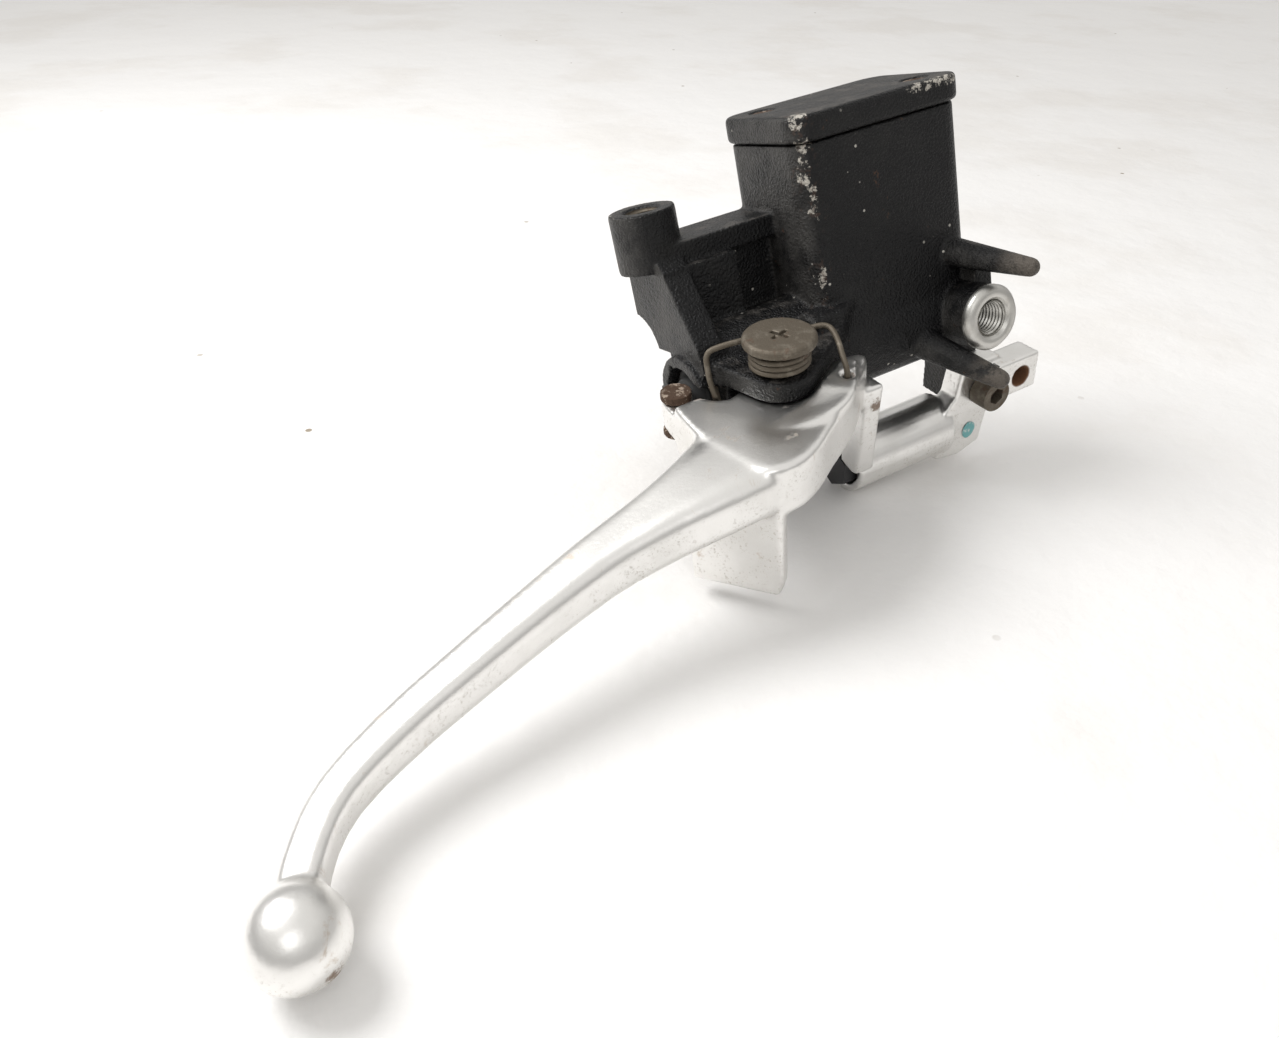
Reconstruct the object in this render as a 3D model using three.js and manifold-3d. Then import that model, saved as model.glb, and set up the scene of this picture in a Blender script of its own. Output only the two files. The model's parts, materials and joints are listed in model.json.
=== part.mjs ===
// Brake master cylinder for the right end of a handlebar: a cast body with a square reservoir, the
// lever on its pivot bolt, the piston set in the bore and the brake light switch on its bracket.
// Millimetres, +Z up. X runs along the bore and the handlebar, the lever side faces -Y.
// The origin is the middle of the handlebar, in the middle of the clamp saddle.
import * as THREE from "three";
import { mergeVertices } from "three/addons/utils/BufferGeometryUtils.js";
import Module from "manifold-3d";

const wasm = await Module();
wasm.setup();

// ---------- driving dimensions ----------
const GAP = 0.3; // clearance between two touching pieces
const ROUND = 28; // facets of a full circle on the large round pieces
const FINE = 16; // facets of a full circle on the small ones

const bar = { radius: 11.1, clearance: 0.3 };
const saddle = { halfWidth: 10, left: -13, flangeBottom: 3, front: -23, split: -0.6, top: 26, bottom: -24 };
const saddleScrew = { radius: 2.5, height: 17.5, depth: 12 };
const saddleBack = { y0: -16, y1: -5, bottom: -18 }; // wall between the saddle and the tank

const bore = { y: -25.35, z: -8.9, radius: 6.35, mouth: -15, end: 58 };
const barrel = { radius: 13.5, mouthRadius: 12.6, rightEnd: 84 };
const mouth = { radius: 9.3, depth: 7 }; // wide step that takes the washer, the circlip and the boot
const passage = { radius: 2, end: 76 };

const tank = { x0: 25, x1: 79, y0: -36.5, y1: 0, top: 49.7, floor: 15, wall: 3.2, corner: 6 };
const tankBase = -8; // lowest level of the solid block under the tank floor
const lid = { x0: 24, x1: 80, y0: -38, y1: 1.2, bottom: 50, thickness: 7, corner: 7, bevel: 1.2 };
const lidScrew = { radius: 3.6, shank: 2, inset: 8.5, headHeight: 2.2, recess: 0.5, length: 17 };
const postRadius = 5; // screw posts inside the tank

const pivot = { x: 3, y: -50, z: 9, lean: THREE.MathUtils.degToRad(13) };
const ear = { radius: 9.6, top: -9.5, thickness: 5.7, lowerTop: -31, lowerThickness: 5.5 };
const pivotBolt = { head: 9.75, headHeight: 2.4, shoulder: 4, thread: 3, end: -42 };
const pivotNut = { across: 10, height: 5 };
const bush = { radius: 5.2 };
const torsionSpring = { turns: 3, radius: 7.4, wire: 0.75, pitch: 1.6 };

const port = { x: 74, z: -9, face: -49.4, radius: 9.3, thread: 5, depth: 12, chamfer: 1.2 };
const countersink = { depth: 1.2, width: 1 }; // at the mouth of both threaded holes
const mirror = { x: -10, y: -11, top: 41.5, bottom: 25.5, radius: 9.2, thread: 4.4, depth: 14 };
const web = { x1: 26, y0: -20, y1: -1.5, z0: 26, z1: 31.8 };
// The slanting strut from the mirror boss down to the upper ear, as an outline in Y and Z.
const strutSide = [
  [-12, 30],
  [-21, 28],
  [-34.4, 7],
  [-36, 0],
  [-28, -6],
  [-12, 20],
];
const strutWidth = { x0: -13, x1: -5 };
const upperHoseStop = { from: [72, -35, 9.5], to: [81, -57, 4.6], radius: 4.4, tip: 2.7 };
const lowerHoseStop = { from: [59, -37, -14], to: [69, -56, -24.5], radius: 4.6, tip: 2.8 };
const hoseStopRoot = { x0: 75, x1: 81, y0: -42, y1: -34, z0: -6, z1: 6 };
const foot = { x0: 70, x1: 81, back: 22, bottom: -52, top: -28 }; // carries the switch bracket
const feedHole = { x: 31.5, radius: 1.4 };
const ventHole = { x: 40.4, radius: 0.8 };
const window = { x: 52, z: 24, hole: 7, glass: 6.7, from: -2.6, to: 1 };
const plug = { x: 49.7, z: -10.8, radius: 2.9, back: -36, front: -39.2 };

const lever = { top: -15.6, bottom: -30.4, boss: 9.6 };
const springHole = { x: 15.2, y: -8.6, radius: 1.6 };
const nose = { top: -18.6, bottom: -27.2 }; // the thin end of the lever that pushes the piston
const pushPin = { x: -22.7, y: 16, radius: 4.3, hole: 2.4, capHeight: 2.2, end: -29.2 };
const switchArmBox = { x0: 25, x1: 31.4 };

const piston = { tip: -15.1, tipRadius: 4.2, shoulder: -7.9, radius: 6.05, end: 34.5 };
const cup = { secondary: -2, primary: 35.1, width: 3.6, core: 4, spigot: 2 };
const retaining = { washer: -9.2, circlip: -10.7, outer: 8.6, groove: 9.8 };
const boot = { x0: -14.4, x1: -11.2 };
const boreSpring = { x0: 39.6, x1: 57.2, radius: 4.7, wire: 0.5, turns: 7 };

// The switch bracket, in the tilted frame of the lever.
const bracket = { front: 3.6, back: 11, foot: 11.3 };
const bracketScrew = { x: 77, z: -46.3, head: 5, headLength: 6.2, shank: 2.9, end: 24 };
const spareHole = { x: 89.4, z: -45, radius: 3.2 };
const tube = { x0: 29.5, x1: 66, y: 11, z: -58.3, outer: 9.8, inner: 7.4, inside: 57 };
const tubeSlot = { x1: 33.5, bottom: -56.5 }; // room for the switch's head in the tube's open end
const lightSwitch = { across: 12, x0: 26, x1: 54, headX1: 32.5, headFront: 10.4, headBack: 17, headTop: -46 };
const plunger = { x: 28.6, z: -50, radius: 1.3, tip: 6.3, inside: 14 };

// Outlines of the pieces that follow no simple rule, in the tilted frame unless they say otherwise.
const outlines = {
  upperEar: [[20, 2], [30, 10], [34, 19], [-12, 22], [-13, 12]], // after the round end
  lowerEar: [[13, 14], [13, 24], [-11, 24]],
  stop: [[17, 8], [27, 8.5], [33.5, 12], [33.5, 15.5], [17, 15.5]],
  crescentEnd: [[22.5, -3.5], [21.3, 0]],
  hangingPlate: [[-12.5, -26], [12.5, -26], [12.5, -52], [11, -56.5], [-12.5, -55]], // upright
  switchArm: [[-5, -24], [3, -24], [3, -41], [6, -45], [6, -53], [0, -55], [-2, -54]], // Y and Z
  bracketPlate: [
    [69, -37],
    [83.5, -37],
    [84, -51],
    [80.5, -56],
    [78.5, -66],
    [70, -68.5],
    [61, -67],
    [59.5, -55],
    [67, -46.5],
  ], // X and Z
};
const stopHeights = { bottom: -17, top: -5.5 };
const earRim = 0.8; // bevel round the ears
// Stepped room for the nose of the lever: each step reaches further back, further to the left.
const slotSteps = [
  { right: -6, back: 9.5 },
  { right: -10.5, back: 12.5 },
  { right: -14.6, back: 27.5 },
];
const slotReach = { left: -22, front: -30 };
const hangingPlace = { x: -27.5, y: -20.5, turn: -0.86, half: 2.5 };
const noseRoom = { x0: -40, x1: -13.5, y0: 9, y1: 30 };
const lidHollow = { sides: 13, ends: 5, corner: 4, height: 3 };
const bowl = { x0: 41, x1: 63, bottom: 33, wall: 1.5, corner: 4 };
const diaphragmRim = { bottom: 3.4, top: 1.2 }; // both below the top of the tank
const ventInPlate = { x: 52, y: -18, radius: 2.5 };
const baffleSize = { x0: 31, x1: 44, half: 5, thickness: 1.2 };
const spareEar = { x0: 80, x1: 96, back: 9, bottom: -50.5, top: -38.5 };
const cross = { length: 2.8, half: 0.6, depth: 1.2, turn: 0.3 }; // recess in the pivot bolt
const screwCross = { length: 2, half: 0.45, depth: 1.2 };
const FAR = 60; // longer than any hole it cuts

// ---------- solids ----------
function solid(geometry) {
  const bare = geometry.clone();
  bare.deleteAttribute("normal");
  bare.deleteAttribute("uv");
  const merged = mergeVertices(bare, 1e-4);
  return new wasm.Manifold(
    new wasm.Mesh({
      numProp: 3,
      vertProperties: merged.attributes.position.array,
      triVerts: new Uint32Array(merged.index.array),
    }),
  );
}

function geometryOf(manifold) {
  const mesh = manifold.getMesh();
  const geometry = new THREE.BufferGeometry();
  geometry.setAttribute("position", new THREE.BufferAttribute(mesh.vertProperties, 3));
  geometry.setIndex(new THREE.BufferAttribute(mesh.triVerts, 1));
  const flat = geometry.toNonIndexed();
  flat.computeVertexNormals();
  return flat;
}

function join(first, ...others) {
  return others.reduce((sum, next) => sum.add(next), first);
}

function cut(first, ...others) {
  return others.reduce((rest, next) => rest.subtract(next), first);
}

function block(x0, x1, y0, y1, z0, z1) {
  const geometry = new THREE.BoxGeometry(x1 - x0, y1 - y0, z1 - z0);
  geometry.translate((x0 + x1) / 2, (y0 + y1) / 2, (z0 + z1) / 2);
  return geometry;
}

// A round bar between two points; the second radius makes it taper.
function rod(from, to, radius, endRadius = radius, facets = ROUND) {
  const start = new THREE.Vector3(...from);
  const end = new THREE.Vector3(...to);
  const along = end.clone().sub(start);
  const geometry = new THREE.CylinderGeometry(endRadius, radius, along.length(), facets);
  const turn = new THREE.Quaternion().setFromUnitVectors(
    new THREE.Vector3(0, 1, 0),
    along.clone().normalize(),
  );
  geometry.applyQuaternion(turn);
  geometry.translate(...start.add(end).multiplyScalar(0.5).toArray());
  return geometry;
}

function ball(center, radius, facets = FINE) {
  const geometry = new THREE.SphereGeometry(radius, facets, facets / 2);
  geometry.translate(...center);
  return geometry;
}

// A finger: a tapered bar with a round tip.
function finger(from, to, radius, tipRadius) {
  return join(
    solid(rod(from, to, radius, tipRadius, FINE)),
    solid(ball(to, tipRadius)),
    solid(ball(from, radius)),
  );
}

function roundedRectangle(x0, x1, y0, y1, r) {
  const shape = new THREE.Shape();
  shape.moveTo(x0 + r, y0);
  shape.lineTo(x1 - r, y0);
  shape.absarc(x1 - r, y0 + r, r, -Math.PI / 2, 0);
  shape.lineTo(x1, y1 - r);
  shape.absarc(x1 - r, y1 - r, r, 0, Math.PI / 2);
  shape.lineTo(x0 + r, y1);
  shape.absarc(x0 + r, y1 - r, r, Math.PI / 2, Math.PI);
  shape.lineTo(x0, y0 + r);
  shape.absarc(x0 + r, y0 + r, r, Math.PI, 1.5 * Math.PI);
  return shape;
}

// A plate of the given outline between two heights, with its rim bevelled when asked.
function plate(shape, z0, z1, bevel = 0) {
  const geometry = new THREE.ExtrudeGeometry(shape, {
    depth: z1 - z0 - 2 * bevel,
    bevelEnabled: bevel > 0,
    bevelThickness: bevel,
    bevelSize: bevel,
    bevelOffset: -bevel,
    bevelSegments: 2,
    curveSegments: 5,
  });
  geometry.translate(0, 0, z0 + bevel);
  return geometry;
}

function lineThrough(shape, points) {
  for (const [x, y] of points) shape.lineTo(x, y);
}

function polygon(points) {
  return new THREE.Shape(points.map(([x, y]) => new THREE.Vector2(x, y)));
}

// A closed smooth outline through the given points.
function softOutline(points, samples) {
  const curve = new THREE.CatmullRomCurve3(
    points.map(([x, y]) => new THREE.Vector3(x, y, 0)),
    true,
    "centripetal",
  );
  return polygon(curve.getPoints(samples).slice(0, -1).map((p) => [p.x, p.y]));
}

// A prism whose outline lies in the Y-Z plane, running along X.
function prismAlongX(points, x0, x1) {
  const geometry = plate(polygon(points), 0, x1 - x0);
  geometry.rotateZ(Math.PI / 2);
  geometry.rotateY(Math.PI / 2);
  geometry.translate(x0, 0, 0);
  return geometry;
}

// A turned piece along X from (position, radius) pairs.
function turnedAlongX(profile, y, z, facets = ROUND) {
  const outline = profile.map(([x, r]) => new THREE.Vector2(r, x));
  const geometry = new THREE.LatheGeometry(outline, facets);
  geometry.rotateZ(-Math.PI / 2);
  geometry.translate(0, y, z);
  return solid(geometry);
}

// A turned piece about the upright axis from (radius, height) pairs.
function turnedUpright(profile, x, y, facets = ROUND) {
  const geometry = new THREE.LatheGeometry(
    profile.map(([r, z]) => new THREE.Vector2(r, z)),
    facets,
  );
  geometry.rotateX(Math.PI / 2);
  geometry.translate(x, y, 0);
  return solid(geometry);
}

// A wire of round section along a smooth path through the given points.
function wire(points, radius, steps, sides = 6) {
  const section = new THREE.Shape();
  section.absarc(0, 0, radius, 0, 2 * Math.PI);
  const geometry = new THREE.ExtrudeGeometry(section, {
    steps,
    bevelEnabled: false,
    curveSegments: sides,
    extrudePath: new THREE.CatmullRomCurve3(points, false, "centripetal"),
  });
  return solid(geometry);
}

// The tilted frame of the lever: its origin is the middle of the pivot bolt's head.
const tilt = new THREE.Matrix4()
  .makeTranslation(pivot.x, pivot.y, pivot.z)
  .multiply(new THREE.Matrix4().makeRotationX(pivot.lean));

function tilted(geometry) {
  return solid(geometry.clone().applyMatrix4(tilt));
}

// ---------- materials ----------
function material(color, roughness, metalness) {
  return new THREE.MeshStandardMaterial({ color, roughness, metalness });
}

const blackCasting = material(0x1d1d1f, 0.45, 0.2);
const bareAluminium = material(0xcfcdc8, 0.32, 0.9);
const agedSteel = material(0x8d8576, 0.6, 0.7);
const rustySteel = material(0x6d5240, 0.85, 0.4);
const blackRubber = material(0x161616, 0.85, 0);
const blackPlastic = material(0x202124, 0.55, 0);
const whitePlastic = material(0xd8d4c6, 0.5, 0);
const brightSteel = material(0xb5b5b2, 0.3, 0.95);
const windowGlass = material(0xa9b4a8, 0.08, 0);

// ---------- body ----------
function tankShell() {
  const outside = solid(
    plate(roundedRectangle(tank.x0, tank.x1, tank.y0, tank.y1, tank.corner), tankBase, tank.top),
  );
  const inside = solid(
    plate(
      roundedRectangle(
        tank.x0 + tank.wall,
        tank.x1 - tank.wall,
        tank.y0 + tank.wall,
        tank.y1 - tank.wall,
        tank.corner - 2,
      ),
      tank.floor,
      tank.top + 1,
    ),
  );
  return cut(outside, inside);
}

const lidScrewPlaces = {
  left: [tank.x0 + lidScrew.inset, tank.y1 - lidScrew.inset],
  right: [tank.x1 - lidScrew.inset, tank.y0 + lidScrew.inset],
};

function screwPosts() {
  const posts = Object.values(lidScrewPlaces).map(([x, y]) =>
    solid(rod([x, y, tank.floor - 1], [x, y, tank.top - 4], postRadius, postRadius, FINE)),
  );
  return join(...posts);
}

function screwPostHoles() {
  const holes = Object.values(lidScrewPlaces).map(([x, y]) =>
    solid(
      rod([x, y, tank.top - lidScrew.length], [x, y, tank.top], lidScrew.shank + GAP, undefined, FINE),
    ),
  );
  return join(...holes);
}

function boreBarrel() {
  const long = solid(
    rod([tank.x0 - 6, bore.y, bore.z], [barrel.rightEnd, bore.y, bore.z], barrel.radius),
  );
  const left = solid(rod([bore.mouth, bore.y, bore.z], [tank.x0, bore.y, bore.z], barrel.mouthRadius));
  const shoulder = solid(
    rod([-saddle.halfWidth, bore.y + 2, bore.z + 3], [tank.x0 + 2, bore.y + 2, bore.z + 3], 15),
  );
  return join(long, left, shoulder);
}

function boreHole() {
  return turnedAlongX(
    [
      [bore.mouth - 1, 0],
      [bore.mouth - 1, mouth.radius],
      [retaining.circlip - 0.2, mouth.radius],
      [retaining.circlip - 0.2, retaining.groove],
      [retaining.circlip + 1.2, retaining.groove],
      [retaining.circlip + 1.2, mouth.radius],
      [bore.mouth + mouth.depth, mouth.radius],
      [bore.mouth + mouth.depth, bore.radius],
      [bore.end, bore.radius],
      [bore.end + 3, passage.radius],
      [passage.end, passage.radius],
      [passage.end, 0],
    ],
    bore.y,
    bore.z,
  );
}

function clampSaddle() {
  const cheek = solid(
    block(
      -saddle.halfWidth,
      saddle.halfWidth,
      saddle.front,
      saddle.split,
      saddle.bottom,
      saddle.top,
    ),
  );
  const backWall = solid(
    block(
      saddle.halfWidth - 2,
      tank.x0 + 3,
      saddleBack.y0,
      saddleBack.y1,
      saddleBack.bottom,
      web.z0 + 2,
    ),
  );
  const leftFlange = solid(
    block(
      saddle.left,
      saddle.halfWidth,
      saddle.front,
      saddle.split,
      saddle.flangeBottom,
      saddle.top,
    ),
  );
  return join(cheek, leftFlange, backWall);
}

function saddleHoles() {
  const handlebar = solid(
    rod([-40, 0, 0], [120, 0, 0], bar.radius + bar.clearance),
  );
  const screws = [saddleScrew.height, -saddleScrew.height].map((z) =>
    solid(rod([0, -saddleScrew.depth, z], [0, 2, z], saddleScrew.radius, undefined, FINE)),
  );
  return join(handlebar, ...screws);
}

function mirrorBoss() {
  const boss = solid(
    rod([mirror.x, mirror.y, mirror.bottom], [mirror.x, mirror.y, mirror.top], mirror.radius),
  );
  const shelf = solid(block(mirror.x, web.x1, web.y0, web.y1, web.z0, web.z1));
  return join(boss, shelf);
}

function mirrorThread() {
  const hole = rod(
    [mirror.x, mirror.y, mirror.top - mirror.depth],
    [mirror.x, mirror.y, mirror.top + 1],
    mirror.thread,
    mirror.thread,
    FINE,
  );
  const sink = rod(
    [mirror.x, mirror.y, mirror.top - countersink.depth],
    [mirror.x, mirror.y, mirror.top + 0.01],
    mirror.thread,
    mirror.thread + countersink.width,
    FINE,
  );
  return join(solid(hole), solid(sink));
}

function strut() {
  return solid(prismAlongX(strutSide, strutWidth.x0, strutWidth.x1));
}

// The ears reach from the round end over the pivot back into the barrel.
function earOutline() {
  const shape = new THREE.Shape();
  shape.absarc(0, 0, ear.radius, 1.05 * Math.PI, 1.72 * Math.PI);
  lineThrough(shape, outlines.upperEar);
  return shape;
}

function lowerEarOutline() {
  const shape = new THREE.Shape();
  shape.absarc(0, 0, ear.radius - 0.6, Math.PI, 1.8 * Math.PI);
  lineThrough(shape, outlines.lowerEar);
  return shape;
}

function ears() {
  const upper = tilted(plate(earOutline(), ear.top - ear.thickness, ear.top, earRim));
  const lower = tilted(
    plate(lowerEarOutline(), ear.lowerTop - ear.lowerThickness, ear.lowerTop, earRim),
  );
  const stop = tilted(plate(polygon(outlines.stop), stopHeights.bottom, stopHeights.top, 1));
  return join(upper, lower, stop);
}

// Room for the lever between the ears and in front of the mouth of the bore.
function leverSlot() {
  const low = ear.lowerTop;
  const high = ear.top - ear.thickness;
  const steps = slotSteps.map(({ right, back }) =>
    tilted(block(slotReach.left, right, slotReach.front, back, low, high)),
  );
  return join(tilted(rod([0, 0, low], [0, 0, high], lever.boss + 0.9)), ...steps);
}

function pivotHole() {
  return tilted(rod([0, 0, -FAR], [0, 0, 2], pivotBolt.shoulder + GAP, undefined, FINE));
}

function outletPort() {
  return join(
    solid(rod([port.x, bore.y, port.z], [port.x, port.face + port.chamfer, port.z], port.radius)),
    solid(
      rod(
        [port.x, port.face + port.chamfer, port.z],
        [port.x, port.face, port.z],
        port.radius,
        port.radius - port.chamfer,
      ),
    ),
  );
}

function outletHoles() {
  return join(
    solid(
      rod(
        [port.x, port.face + port.depth, port.z],
        [port.x, port.face - 1, port.z],
        port.thread,
        undefined,
        FINE,
      ),
    ),
    solid(
      rod(
        [port.x, port.face + countersink.depth, port.z],
        [port.x, port.face - 0.01, port.z],
        port.thread,
        port.thread + countersink.width,
        FINE,
      ),
    ),
    solid(rod([port.x, bore.y, port.z], [port.x, port.face + 3, port.z], passage.radius, undefined, FINE)),
  );
}

// Two fingers either side of the outlet that hold the hose fitting straight.
function hoseStops() {
  const fingers = [upperHoseStop, lowerHoseStop].map((stop) =>
    finger(stop.from, stop.to, stop.radius, stop.tip),
  );
  const { x0, x1, y0, y1, z0, z1 } = hoseStopRoot;
  return join(solid(block(x0, x1, y0, y1, z0, z1)), ...fingers);
}

// The foot under the far end of the barrel that carries the switch bracket.
function bracketFoot() {
  return tilted(block(foot.x0, foot.x1, bracket.foot, foot.back, foot.bottom, foot.top));
}

function bracketFootHole() {
  return tilted(
    rod(
      [bracketScrew.x, 0, bracketScrew.z],
      [bracketScrew.x, 30, bracketScrew.z],
      bracketScrew.shank + GAP,
      undefined,
      FINE,
    ),
  );
}

function feedHoles() {
  const holes = [feedHole, ventHole].map(({ x, radius }) =>
    solid(rod([x, bore.y, bore.z], [x, bore.y, tank.floor + 1], radius, radius, 12)),
  );
  return join(...holes);
}

function sightHole() {
  return solid(rod([window.x, -6, window.z], [window.x, 4, window.z], window.hole, undefined, FINE));
}

function masterCylinderBody() {
  const mass = join(
    tankShell(),
    screwPosts(),
    boreBarrel(),
    clampSaddle(),
    mirrorBoss(),
    strut(),
    ears(),
    outletPort(),
    hoseStops(),
    bracketFoot(),
    solid(
      rod([plug.x, plug.back, plug.z], [plug.x, plug.front, plug.z], plug.radius, undefined, FINE),
    ),
  );
  return cut(
    mass,
    screwPostHoles(),
    boreHole(),
    saddleHoles(),
    mirrorThread(),
    leverSlot(),
    pivotHole(),
    outletHoles(),
    bracketFootHole(),
    feedHoles(),
    sightHole(),
  );
}

// ---------- reservoir pieces ----------
function reservoirLid() {
  const top = lid.bottom + lid.thickness;
  const cover = solid(
    plate(roundedRectangle(lid.x0, lid.x1, lid.y0, lid.y1, lid.corner), lid.bottom, top, lid.bevel),
  );
  const holes = Object.values(lidScrewPlaces).map(([x, y]) =>
    turnedUpright(
      [
        [0, lid.bottom - 1],
        [lidScrew.shank + GAP, lid.bottom - 1],
        [lidScrew.shank + GAP, top - lidScrew.recess - lidScrew.headHeight - GAP],
        [lidScrew.radius + GAP, top - lidScrew.recess],
        [lidScrew.radius + GAP, top + 1],
        [0, top + 1],
      ],
      x,
      y,
      FINE,
    ),
  );
  const hollow = solid(
    plate(
      roundedRectangle(
        tank.x0 + lidHollow.sides,
        tank.x1 - lidHollow.sides,
        tank.y0 + lidHollow.ends,
        tank.y1 - lidHollow.ends,
        lidHollow.corner,
      ),
      lid.bottom - 1,
      lid.bottom + lidHollow.height,
    ),
  );
  return cut(cover, hollow, ...holes);
}

function lidScrewSolid() {
  const top = lid.bottom + lid.thickness - lidScrew.recess;
  const screw = turnedUpright(
    [
      [0, top - lidScrew.length],
      [lidScrew.shank, top - lidScrew.length],
      [lidScrew.shank, top - lidScrew.headHeight],
      [lidScrew.radius, top - 0.3],
      [lidScrew.radius, top],
      [0, top],
    ],
    0,
    0,
    FINE,
  );
  const slots = [0, Math.PI / 2].map((angle) => {
    const { length, half, depth } = screwCross;
    const slot = block(-length, length, -half, half, top - depth, top + 1);
    slot.rotateZ(angle);
    return solid(slot);
  });
  return cut(screw, ...slots);
}

// The rubber diaphragm: a rim under the lid and a cup that hangs into the tank.
function diaphragm() {
  const inset = tank.wall + 1;
  const cup = (r, z0, z1) =>
    solid(plate(roundedRectangle(tank.x0 + r, tank.x1 - r, tank.y0 + r, tank.y1 - r, 3.5), z0, z1));
  const corners = Object.values(lidScrewPlaces).map(([x, y]) =>
    solid(rod([x, y, 20], [x, y, 60], postRadius + 1.2, undefined, FINE)),
  );
  const rim = cut(
    cup(inset, tank.top - diaphragmRim.bottom, tank.top - diaphragmRim.top),
    ...corners,
  );
  const hanging = (wall, z0, z1) =>
    solid(
      plate(
        roundedRectangle(
          bowl.x0 + wall,
          bowl.x1 - wall,
          tank.y0 + inset + 2 + wall,
          tank.y1 - inset - 2 - wall,
          bowl.corner,
        ),
        z0,
        z1,
      ),
    );
  return cut(
    join(rim, hanging(0, bowl.bottom, tank.top - 2)),
    hanging(bowl.wall, bowl.bottom + bowl.wall, tank.top + 1),
  );
}

function diaphragmPlate() {
  const inset = tank.wall + 1.6;
  const corners = Object.values(lidScrewPlaces).map(([x, y]) =>
    solid(rod([x, y, 20], [x, y, 60], postRadius + 1.6, undefined, FINE)),
  );
  const sheet = solid(
    plate(
      roundedRectangle(tank.x0 + inset, tank.x1 - inset, tank.y0 + inset, tank.y1 - inset, 3),
      tank.top - 0.9,
      tank.top - 0.1,
    ),
  );
  const { x, y, radius } = ventInPlate;
  const vent = solid(rod([x, y, 40], [x, y, FAR], radius, undefined, FINE));
  return cut(sheet, vent, ...corners);
}

// A small plate that keeps fluid from spurting up out of the feed holes.
function baffle() {
  const { x0, x1, half, thickness } = baffleSize;
  const bottom = tank.floor + GAP;
  return solid(
    plate(roundedRectangle(x0, x1, bore.y - half, bore.y + half, 2), bottom, bottom + thickness),
  );
}

function sightGlass() {
  return solid(
    rod(
      [window.x, window.from, window.z],
      [window.x, window.to, window.z],
      window.glass,
      undefined,
      FINE,
    ),
  );
}

// ---------- pivot ----------
function pivotBoltSolid() {
  const bolt = turnedUpright(
    [
      [0, pivotBolt.end],
      [pivotBolt.thread, pivotBolt.end],
      [pivotBolt.thread, ear.lowerTop - ear.lowerThickness + 1],
      [pivotBolt.shoulder, ear.lowerTop - ear.lowerThickness + 1],
      [pivotBolt.shoulder, -pivotBolt.headHeight],
      [pivotBolt.head, -pivotBolt.headHeight],
      [pivotBolt.head, -0.7],
      [pivotBolt.head - 0.7, 0],
      [0, 0],
    ],
    0,
    0,
  );
  const slots = [0, Math.PI / 2].map((angle) => {
    const slot = block(-cross.length, cross.length, -cross.half, cross.half, -cross.depth, 1);
    slot.rotateZ(cross.turn + angle);
    return solid(slot);
  });
  return cut(bolt, ...slots);
}

function pivotNutSolid() {
  const top = ear.lowerTop - ear.lowerThickness - GAP;
  const shape = polygon(
    [...Array(6).keys()].map((i) => {
      const angle = (i * Math.PI) / 3;
      const corner = pivotNut.across / Math.sqrt(3);
      return [corner * Math.cos(angle), corner * Math.sin(angle)];
    }),
  );
  const hex = solid(plate(shape, top - pivotNut.height, top));
  return cut(hex, solid(rod([0, 0, -FAR], [0, 0, 0], pivotBolt.thread + GAP, undefined, FINE)));
}

function bushSolid() {
  return turnedUpright(
    [
      [pivotBolt.shoulder + GAP, lever.bottom],
      [bush.radius, lever.bottom],
      [bush.radius, lever.top],
      [pivotBolt.shoulder + GAP, lever.top],
      [pivotBolt.shoulder + GAP, lever.bottom],
    ],
    0,
    0,
    FINE,
  );
}

// Three turns round the pivot: one leg goes down behind the strut, the other ends over the lever's
// spring hole.
function returnSpring() {
  const { turns, radius, wire: wireRadius, pitch } = torsionSpring;
  const top = -pivotBolt.headHeight - wireRadius - GAP;
  const end = top - turns * pitch;
  const perTurn = 10;
  const total = turns * perTurn;
  const start = THREE.MathUtils.degToRad(100);
  const coil = [...Array(total + 1).keys()].map((i) => {
    const angle = start - (i * 2 * Math.PI) / perTurn;
    return new THREE.Vector3(
      radius * Math.cos(angle),
      radius * Math.sin(angle),
      top - (pitch * i) / perTurn,
    );
  });
  const points = [
    new THREE.Vector3(-16.3, 8, -15),
    new THREE.Vector3(-15.6, 11, -9.5),
    new THREE.Vector3(-14.2, 11.4, -5.6),
    new THREE.Vector3(-10, 9.6, top - 0.2),
    ...coil,
    new THREE.Vector3(7, 8.4, end),
    new THREE.Vector3(14.2, 8.6, end + 0.4),
    new THREE.Vector3(17, 4.6, end - 0.2),
    new THREE.Vector3(16.2, -5, end - 1.4),
    new THREE.Vector3(springHole.x, springHole.y, -11),
  ];
  return wire(points, wireRadius, 100, 2);
}

// ---------- lever ----------
// Centre line of the blade in the tilted frame, with its width across and its thickness.
const bladeStations = [
  { x: -12, y: -12.5, z: -23, width: 30, thick: 14.6 },
  { x: -24, y: -17, z: -23.1, width: 29, thick: 14.5 },
  { x: -36, y: -19.7, z: -23.8, width: 23.6, thick: 14.2 },
  { x: -50, y: -21.7, z: -25.3, width: 17.6, thick: 13.4 },
  { x: -66, y: -23.8, z: -27.2, width: 14, thick: 12.6 },
  { x: -85, y: -28.6, z: -29.3, width: 12, thick: 12 },
  { x: -105, y: -34.6, z: -31.4, width: 10.8, thick: 11.4 },
  { x: -125, y: -41.4, z: -33.4, width: 9.8, thick: 10.6 },
  { x: -140, y: -49.6, z: -34.4, width: 9, thick: 9.6 },
  { x: -148.5, y: -60, z: -34.8, width: 8.8, thick: 8.6 },
  { x: -153.6, y: -72, z: -34.9, width: 9.4, thick: 9.4 },
];
const crescentSweep = {
  start: 1.25 * Math.PI,
  end: 1.84 * Math.PI,
  outer: 20,
  rise: 3.6,
  outerRise: 2.4,
};
const leverBall = { x: -154.2, y: -74.1, z: -34.9, radius: 9.9 };

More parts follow.
